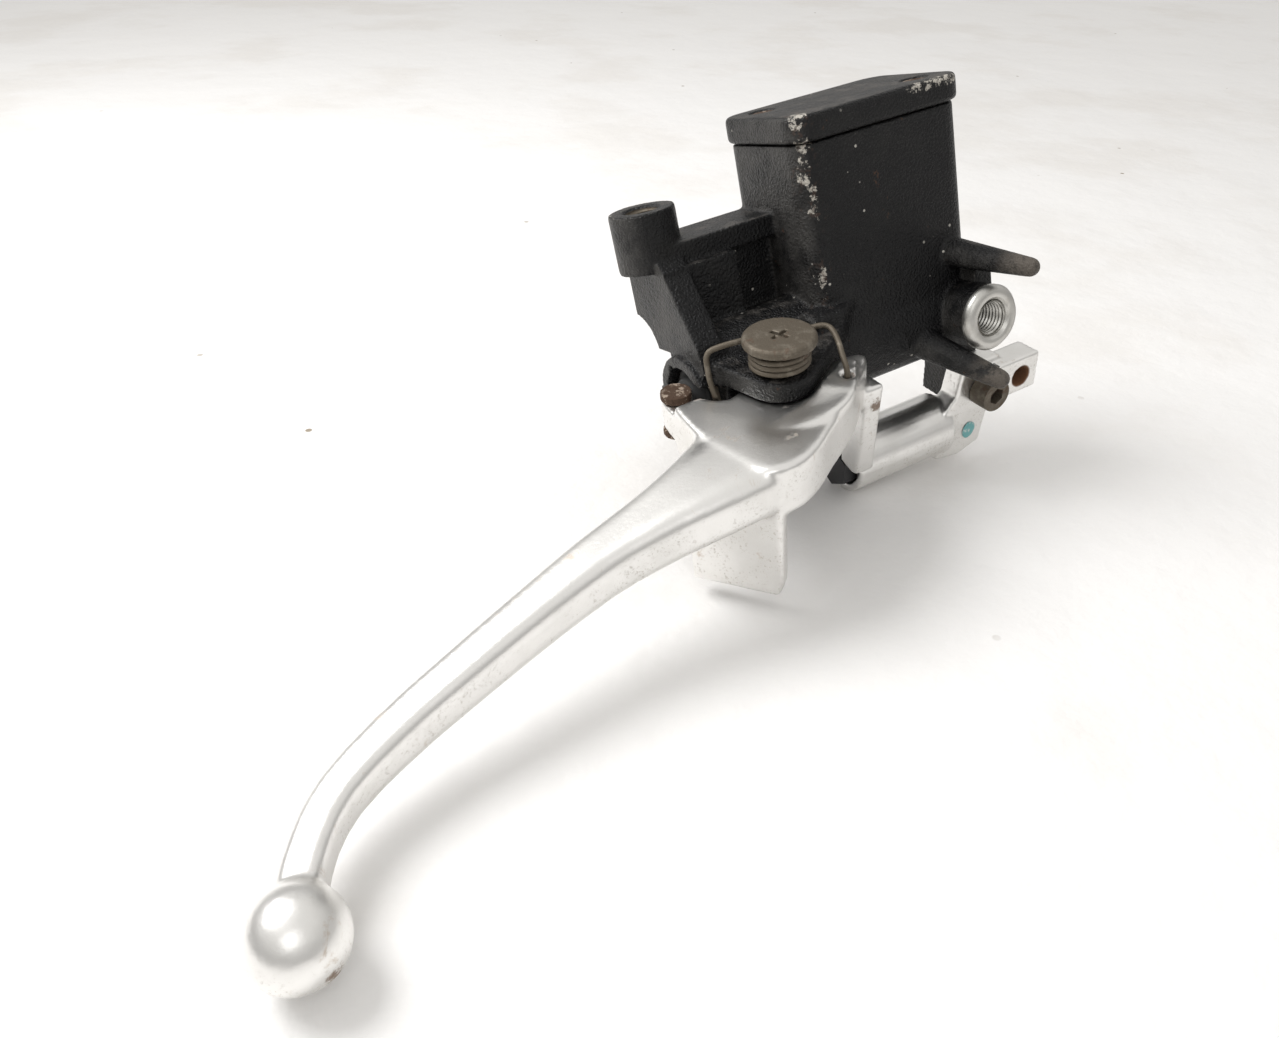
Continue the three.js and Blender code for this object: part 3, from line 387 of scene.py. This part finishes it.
def chipped_black_and_edge_highlight(look):
    """Bare metal along the tank's corner and the lid's rim, the same pale metal on convex edges as part
    real chipping and part painted highlight, specks, scuffed tips and faint rust.
    """
    corner = look.along(TANK_CORNER, (0, 0, 1), 1.5 * MM, 6 * MM)
    corner = look.both(corner, look.clouds(75, 3, 0.5, 0.42, 0.62))
    rim = look.both(
        look.along(LID_FRONT, (1, 0, 0), 1.0 * MM, 3.5 * MM),
        look.near(LID_CHIPS, 8 * MM, 30 * MM),
    )
    bare_and_edge_highlight = look.either(look.both(corner, 0.88), look.both(rim, 0.86))
    # Convex edges get the same pale metal: part real chipping, part a painted highlight of the edges.
    bare_and_edge_highlight = look.either(bare_and_edge_highlight, look.both(look.edges(0.52, 0.56), 0.78))
    worn_and_edge_highlight = look.ramp(look.both(bare_and_edge_highlight, look.noise(560, 6, 0.75)), 0.4, 0.46)
    look.layer(worn_and_edge_highlight, CHIPPED_METAL_AND_EDGE_HIGHLIGHT, 0.5, 0.4)
    specks = look.ramp(look.cells(260), 0.12, 0.08)
    look.layer(look.both(specks, look.clouds(42, 3, 0.5, 0.56, 0.64)), PALE_SPECK, 0.5, 0.2)
    tips = look.either(
        look.near(UPPER_TIP, 3.5 * MM, 11 * MM),
        look.near(LOWER_TIP, 3.5 * MM, 11 * MM),
    )
    look.layer(look.both(tips, look.clouds(200, 5, 0.7, 0.38, 0.56)), SCUFFED_TIP, 0.6, 0.2)
    look.layer(look.both(look.clouds(150, 6, 0.75, 0.66, 0.7), 0.55), PAINT_RUST, 0.8)
    chips = look.clouds(520, 5, 0.7, 0.56, 0.6)
    look.layer(look.both(chips, look.both(corner, 0.35)), CHIP_RUST, 0.8)


def worn_aluminium():
    look = Look("bare aluminium", BARE_ALUMINIUM, 0.28, 1.0)
    look.bump(look.noise(900, 5, 0.7), 0.12, 0.0004)
    underside = look.facing(tuple(-TABLE_UP), -0.55, 0.35)
    patchy = look.clouds(160, 4, 0.6, 0.4, 0.6)
    spread = look.math("ADD", look.both(underside, patchy), 0.04)
    pits = look.both(look.clouds(1400, 4, 0.7, 0.56, 0.62), spread)
    look.bump(pits, 0.35, -0.0002)
    look.layer(look.both(look.clouds(70, 5, 0.6, 0.4, 0.7), 0.35), CLOUDED_ALUMINIUM, 0.5)
    look.layer(look.both(pits, 0.55), PITTED_ALUMINIUM, 0.6, 0.6)
    stains = look.ramp(look.noise(95, 6, 0.7, distortion=0.4), 0.6, 0.72)
    look.layer(look.both(stains, 0.5), STAINED_ALUMINIUM, 0.6, 0.6)
    spots = look.near(BALL_SPOT, 0.5 * MM, 5.5 * MM)
    for place, inner, outer in ((PIN_RUST, 3, 8), (SPRING_RUST, 0.5, 4), (ARM_RUST, 1, 5)):
        spots = look.either(spots, look.near(place, inner * MM, outer * MM))
    broken = look.ramp(look.both(spots, look.noise(330, 6, 0.75)), 0.3, 0.5)
    look.layer(look.both(broken, 0.85), RUST_SPOT, 0.8, 0.2)
    hole = look.along(SPARE_HOLE, SPARE_HOLE_AXIS, 3.3 * MM, 3.9 * MM)
    look.layer(hole, RUSTY_HOLE, 0.85, 0.1)
    return look.done()


def aged_steel():
    look = Look("aged steel", OLD_STEEL, 0.55, 0.5)
    look.bump(look.noise(1300, 5, 0.7), 0.45, 0.0004)
    look.layer(look.clouds(240, 5, 0.7, 0.5, 0.68), RUBBED_STEEL, 0.5, 0.6)
    look.layer(look.both(look.clouds(180, 6, 0.7, 0.58, 0.66), 0.6), BROWN_RUST, 0.85, 0.1)
    return look.done()


def heavy_rust():
    look = Look("heavy rust", DEEP_RUST, 0.9, 0.1)
    look.bump(look.noise(700, 8, 0.75), 0.9, 0.0009)
    look.layer(look.clouds(420, 6, 0.7, 0.52, 0.64), PALE_CRUST, 0.85)
    look.layer(look.clouds(300, 6, 0.7, 0.6, 0.7), DARK_CRUST, 0.9)
    return look.done()


def machined_metal():
    look = Look("machined metal", CUT_METAL, 0.36, 1.0)
    look.bump(look.noise(1500, 4, 0.6), 0.15, 0.0002)
    look.layer(look.both(look.clouds(260, 5, 0.7, 0.5, 0.7), 0.5), DULL_METAL, 0.5)
    return look.done()


def black_rubber():
    look = Look("black rubber", RUBBER, 0.75)
    look.bump(look.noise(900, 3, 0.5), 0.2, 0.0002)
    return look.done()


def moulded_plastic(name, color):
    look = Look(name, color, 0.5)
    look.bump(look.noise(1800, 2, 0.5), 0.12, 0.0001)
    return look.done()


def window_glass():
    look = Look("window glass", YELLOWED_GLASS, 0.08)
    look.shader.inputs["Transmission Weight"].default_value = 0.6
    look.bump(look.noise(60, 2, 0.5), 0.03, 0.0002)
    return look.done()


def teal_paint():
    look = Look("teal paint", TEAL, 0.5)
    look.layer(look.clouds(500, 5, 0.7, 0.5, 0.66), WORN_TEAL, 0.5, 0.3)
    return look.done()


def pale_table():
    look = Look("pale table", PLASTER, 0.6)
    look.bump(look.noise(14, 6, 0.6), 0.35, 0.01)
    look.layer(look.both(look.clouds(9, 5, 0.6, 0.48, 0.66), 0.3), STAINED_PLASTER)
    crumbs = look.ramp(look.cells(34), 0.05, 0.03)
    look.layer(look.both(crumbs, look.clouds(6, 3, 0.5, 0.52, 0.6)), CRUMB)
    return look.done()


LOOKS = {
    "body_paint": worn_black(),
    "bare_aluminium": worn_aluminium(),
    "aged_steel": aged_steel(),
    "rusty_steel": heavy_rust(),
    "bright_steel": machined_metal(),
    "rubber": black_rubber(),
    "black_plastic": moulded_plastic("black plastic", BLACK_PLASTIC),
    "white_plastic": moulded_plastic("white plastic", WHITE_PLASTIC),
    "window_glass": window_glass(),
}


def dress(piece, material):
    piece.data.materials.clear()
    piece.data.materials.append(material)


def dress_cad_nodes():
    for entry in frame["record"]["subparts"]:
        dress(frame["nodes"][entry["node"]], LOOKS[entry["material_slot"]])


# ---------- shape tools ----------
def soften(node, voxel, passes):
    """Rounds every edge and fills every inner corner of a CAD node, as a casting has them."""
    piece = frame["nodes"][node]
    weld = piece.modifiers.new("joined corners", "WELD")
    weld.merge_threshold = WELD_GAP
    remesh = piece.modifiers.new("even mesh", "REMESH")
    remesh.mode = "VOXEL"
    remesh.voxel_size = voxel
    remesh.use_smooth_shade = True
    smooth = piece.modifiers.new("soft edges", "SMOOTH")
    smooth.factor = SMOOTHING
    smooth.iterations = passes


def break_edges(node, width):
    """A small round on the sharp edges of a machined CAD node."""
    piece = frame["nodes"][node]
    bevel = piece.modifiers.new("broken edges", "BEVEL")
    bevel.width = width
    bevel.segments = BEVEL_SEGMENTS
    bevel.limit_method = "ANGLE"
    bevel.angle_limit = BEVEL_ANGLE
    bevel.harden_normals = False
    for polygon in piece.data.polygons:
        polygon.use_smooth = True
    piece.data.set_sharp_from_angle(angle=SHADE_ANGLE)


def add_mesh(name, vertices, faces, material):
    """A smooth piece of its own, which still needs a body and a slot."""
    data = bpy.data.meshes.new(name)
    data.from_pydata([tuple(v) for v in vertices], [], faces)
    data.update()
    piece = bpy.data.objects.new(name, data)
    bpy.context.scene.collection.objects.link(piece)
    for polygon in data.polygons:
        polygon.use_smooth = True
    dress(piece, material)
    return piece


def add_fixed(name, vertices, faces, material):
    """A piece that stays on the cylinder's body."""
    piece = add_mesh(name, vertices, faces, material)
    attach(piece, "master_cylinder")


def grid_faces(rows, columns):
    """Quads over a grid whose columns close on themselves."""
    return [
        (r * columns + c, r * columns + (c + 1) % columns,
         (r + 1) * columns + (c + 1) % columns, (r + 1) * columns + c)
        for r in range(rows - 1)
        for c in range(columns)
    ]


def turned(profile, facets, place, axis):
    """Vertices and faces of a turned ring from (radius, height) pairs, its height along axis."""
    turn = axis.to_track_quat("Z", "Y")
    vertices = [
        place + turn @ Vector((r * math.cos(a), r * math.sin(a), h))
        for r, h in profile
        for a in (2 * math.pi * c / facets for c in range(facets))
    ]
    return vertices, grid_faces(len(profile), facets)


def threaded_wall(place, inward, radius, pitch, depth):
    """The wall of a tapped hole: one tooth every pitch, rising round the hole as a helix."""
    rows = int(depth / pitch * THREAD_ROWS) + 1
    tooth = pitch * THREAD_TOOTH
    turn = inward.to_track_quat("Z", "Y")
    vertices = []
    for row in range(rows):
        height = row * pitch / THREAD_ROWS
        for column in range(THREAD_FACETS):
            around = column / THREAD_FACETS
            phase = (height / pitch + around) % 1.0
            crest = abs(2 * phase - 1)
            fade = min(1.0, height / pitch)
            r = radius - tooth * crest * fade
            angle = 2 * math.pi * around
            vertices.append(
                place + turn @ Vector((r * math.cos(angle), r * math.sin(angle), height))
            )
    return vertices, grid_faces(rows, THREAD_FACETS)


def wire_mesh(points, radius):
    """Vertices and faces of a round wire with capped ends through the given points."""
    vertices = []
    normal = None
    count = len(points)
    for i, point in enumerate(points):
        ahead = points[min(i + 1, count - 1)] - points[max(i - 1, 0)]
        ahead.normalize()
        if normal is None:
            normal = ahead.orthogonal().normalized()
        normal = (normal - ahead * normal.dot(ahead)).normalized()
        side = ahead.cross(normal)
        for s in range(WIRE_SIDES):
            angle = 2 * math.pi * s / WIRE_SIDES
            vertices.append(point + radius * (math.cos(angle) * normal + math.sin(angle) * side))
    faces = grid_faces(count, WIRE_SIDES)
    faces.append(tuple(reversed(range(WIRE_SIDES))))
    faces.append(tuple((count - 1) * WIRE_SIDES + s for s in range(WIRE_SIDES)))
    return vertices, faces


def smooth_path(corners, step):
    """Points along a smooth curve through the corners, about one per step."""
    ends = [corners[0] * 2 - corners[1], *corners, corners[-1] * 2 - corners[-2]]
    points = []
    for a, b, c, d in zip(ends, ends[1:], ends[2:], ends[3:]):
        pieces = max(1, round((c - b).length / step))
        for i in range(pieces):
            t = i / pieces
            points.append(
                0.5 * (2 * b + (c - a) * t + (2 * a - 5 * b + 4 * c - d) * t * t
                       + (3 * b - a - 3 * c + d) * t ** 3)
            )
    points.append(corners[-1].copy())
    return points


# ---------- pieces ----------
def round_edges():
    for node, (voxel, passes) in SOFTENED.items():
        soften(node, voxel * MM, passes)
    for node, width in BROKEN_EDGES.items():
        break_edges(node, width * MM)


def torsion_spring():
    """The lever's spring: a coil round the pivot with a leg in the body and a leg in the lever."""
    top = -BOLT_HEAD_HEIGHT - WIRE_RADIUS - SPRING_GAP
    total = SPRING_TURNS * COIL_STEPS
    coil = []
    for i in range(total + 1):
        angle = SPRING_START - 2 * math.pi * i / COIL_STEPS
        coil.append(
            TILT
            @ Vector(
                (
                    SPRING_RADIUS * math.cos(angle),
                    SPRING_RADIUS * math.sin(angle),
                    top - SPRING_PITCH * i / COIL_STEPS,
                )
            )
        )
    high = top / MM  # heights of the coil's ends, in millimetres
    low = high - SPRING_TURNS * SPRING_PITCH / MM
    first_leg = [
        tilted(-15.3, 7.4, -17),
        tilted(-15.7, 9.4, -12.5),
        tilted(-15.4, 11.1, -8),
        tilted(-14.9, 11.6, -6.2),
        tilted(-13.4, 11.5, -5),
        tilted(-9, 9.4, high - 0.3),
        coil[0],
    ]
    last_leg = [
        coil[-1],
        tilted(6.5, 8.6, low),
        tilted(12.5, 8.4, low + 1.2),
        tilted(16.8, 6.6, low + 2.2),
        tilted(18.6, 5, low + 2.3),
        tilted(19, 3, low + 1.8),
        tilted(18, -0.8, low + 0.6),
        tilted(16.2, -5.4, low - 1.6),
        tilted(15.3, -8.2, low - 3.4),
        tilted(15.2, -8.8, -14.5),
    ]
    path = smooth_path(first_leg, LEG_STEP)[:-1] + coil + smooth_path(last_leg, LEG_STEP)[1:]
    vertices, faces = wire_mesh(path, WIRE_RADIUS)
    spring = add_mesh("torsion_spring", vertices, faces, LOOKS["aged_steel"])
    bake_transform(spring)
    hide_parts("lever_return_spring")


def piston_spring():
    """The coil behind the piston."""
    total = BORE_SPRING_TURNS * BORE_COIL_STEPS
    points = []
    for i in range(total + 1):
        angle = 2 * math.pi * i * BORE_SPRING_TURNS / total
        along = BORE_SPRING_LEFT + (BORE_SPRING_RIGHT - BORE_SPRING_LEFT) * i / total
        around = Vector((0, math.cos(angle), math.sin(angle)))
        points.append(BORE + Vector((along, 0, 0)) + BORE_SPRING_RADIUS * around)
    vertices, faces = wire_mesh(points, BORE_SPRING_WIRE)
    spring = add_mesh("bore_spring", vertices, faces, LOOKS["bright_steel"])
    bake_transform(spring)
    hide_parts("piston_return_spring")


def rubber_boot():
    """The folded boot in the mouth of the bore."""
    profile = [(r * MM, x * MM) for r, x in BOOT_FRONT + BOOT_BACK + BOOT_FRONT[:1]]
    vertices, faces = turned(profile, BOOT_FACETS, BORE, Vector((1, 0, 0)))
    boot = add_mesh("rubber_boot", vertices, faces, LOOKS["rubber"])
    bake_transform(boot)
    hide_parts("dust_boot")


def outlet_ring():
    """The machined face of the outlet with its chamfers, and the thread inside."""
    front = 0.15 * MM  # stands this far out of the casting
    profile = [
        (PORT_RADIUS + 0.1 * MM, -2.6 * MM),
        (PORT_RADIUS + 0.12 * MM, -1.2 * MM),
        (PORT_RADIUS - 1.0 * MM, front),
        (OUTLET_THREAD + 1.1 * MM, front),
        (OUTLET_THREAD + 0.9 * MM, front - 0.2 * MM),
        (OUTLET_THREAD - 0.05 * MM, -1.1 * MM),
    ]
    outward = Vector((0, -1, 0))
    vertices, faces = turned(profile, RING_FACETS, PORT, outward)
    faces = [tuple(reversed(f)) for f in faces]
    add_fixed("outlet_face", vertices, faces, LOOKS["bright_steel"])
    top = PORT - outward * OUTLET_THREAD_TOP
    vertices, faces = threaded_wall(
        top, -outward, OUTLET_THREAD, THREAD_PITCH, OUTLET_THREAD_LENGTH
    )
    add_fixed("outlet_thread", vertices, faces, LOOKS["bright_steel"])


def mirror_thread():
    down = Vector((0, 0, -1))
    top = MIRROR + down * MIRROR_THREAD_TOP
    vertices, faces = threaded_wall(top, down, MIRROR_THREAD, THREAD_PITCH, MIRROR_THREAD_LENGTH)
    add_fixed("mirror_thread", vertices, faces, LOOKS["aged_steel"])


def paint_dot():
    """A dab of marking paint on the bracket's face."""
    x, y, z = DOT_PLACE
    points = []
    for ring in range(DOT_RINGS + 1):
        reach = ring / DOT_RINGS
        for f in range(DOT_FACETS):
            angle = 2 * math.pi * f / DOT_FACETS
            wobble = noise.noise(Vector((math.cos(angle), math.sin(angle), 2.0)))
            edge = DOT_RADIUS + DOT_WOBBLE * wobble
            points.append(
                tilted(
                    x + edge * reach * math.cos(angle),
                    y - DOT_HEIGHT * (1 - reach ** 4),
                    z + DOT_STRETCH * edge * reach * math.sin(angle),
                )
            )
    faces = grid_faces(DOT_RINGS + 1, DOT_FACETS)
    add_fixed("paint_dot", points, faces, teal_paint())


# ---------- table, light and camera ----------
def table_place():
    """A point of the table: the lowest one of the lever and the bracket."""
    resting = ("lever", "switch_bracket")
    lowest = min(
        (vertex.co for node in resting for vertex in frame["nodes"][node].data.vertices),
        key=TABLE_UP.dot,
    )
    return lowest.copy()


def table():
    turn = TABLE_UP.to_track_quat("Z", "Y").to_matrix().to_4x4()
    data = bpy.data.meshes.new("table")
    mesh = bmesh.new()
    bmesh.ops.create_grid(
        mesh, x_segments=TABLE_CELLS, y_segments=TABLE_CELLS, size=TABLE_REACH
    )
    mesh.transform(Matrix.Translation(table_place()) @ turn)
    mesh.to_mesh(data)
    mesh.free()
    floor = bpy.data.objects.new("table", data)
    bpy.context.scene.collection.objects.link(floor)
    dress(floor, pale_table())


def area_light(name, height, aside, size, power):
    data = bpy.data.lights.new(name, "AREA")
    data.shape = "DISK"
    data.size = size
    data.energy = power
    light = bpy.data.objects.new(name, data)
    light.location = LIT_PLACE + TABLE_UP * height + aside
    light.rotation_euler = (LIT_PLACE - light.location).to_track_quat("-Z", "Y").to_euler()
    bpy.context.scene.collection.objects.link(light)


def studio():
    """A soft room, brighter overhead, with a large window and a weak fill light."""
    world = bpy.data.worlds.new("soft room")
    world.use_nodes = True
    nodes = world.node_tree.nodes
    links = world.node_tree.links
    direction = nodes.new("ShaderNodeTexCoord")
    height = nodes.new("ShaderNodeVectorMath")
    height.operation = "DOT_PRODUCT"
    height.inputs[1].default_value = TABLE_UP
    links.new(direction.outputs["Generated"], height.inputs[0])
    brightness = nodes.new("ShaderNodeMapRange")
    brightness.interpolation_type = "SMOOTHSTEP"
    brightness.inputs["From Min"].default_value = 0.0
    brightness.inputs["From Max"].default_value = ROOM_TOP
    brightness.inputs["To Min"].default_value = ROOM_LOW
    brightness.inputs["To Max"].default_value = ROOM_HIGH
    links.new(height.outputs["Value"], brightness.inputs["Value"])
    links.new(brightness.outputs["Result"], nodes["Background"].inputs["Strength"])
    nodes["Background"].inputs["Color"].default_value = ROOM_COLOR
    bpy.context.scene.world = world
    area_light("window", *WINDOW)
    area_light("fill", *FILL)


def camera():
    right = Vector((math.cos(CAMERA_AZIMUTH), math.sin(CAMERA_AZIMUTH), 0))
    forward = Vector(
        (
            -math.sin(CAMERA_AZIMUTH) * math.cos(CAMERA_ELEVATION),
            math.cos(CAMERA_AZIMUTH) * math.cos(CAMERA_ELEVATION),
            -math.sin(CAMERA_ELEVATION),
        )
    )
    up = right.cross(forward)
    turn = Matrix((right, up, -forward)).transposed()
    turn = turn @ Matrix.Rotation(-CAMERA_ROLL, 3, "Z")
    data = bpy.data.cameras.new("camera")
    data.sensor_width = CAMERA_SENSOR
    data.lens = CAMERA_LENS
    data.clip_start = CAMERA_NEAR
    eye = bpy.data.objects.new("camera", data)
    eye.matrix_world = Matrix.Translation(CAMERA_PLACE) @ turn.to_4x4()
    bpy.context.scene.collection.objects.link(eye)
    bpy.context.scene.camera = eye


def picture_settings():
    view = bpy.context.scene.view_settings
    view.view_transform = "Standard"
    view.look = "None"
    view.exposure = 0.0


dress_cad_nodes()
round_edges()
torsion_spring()
piston_spring()
rubber_boot()
outlet_ring()
mirror_thread()
paint_dot()
table()
studio()
camera()
picture_settings()
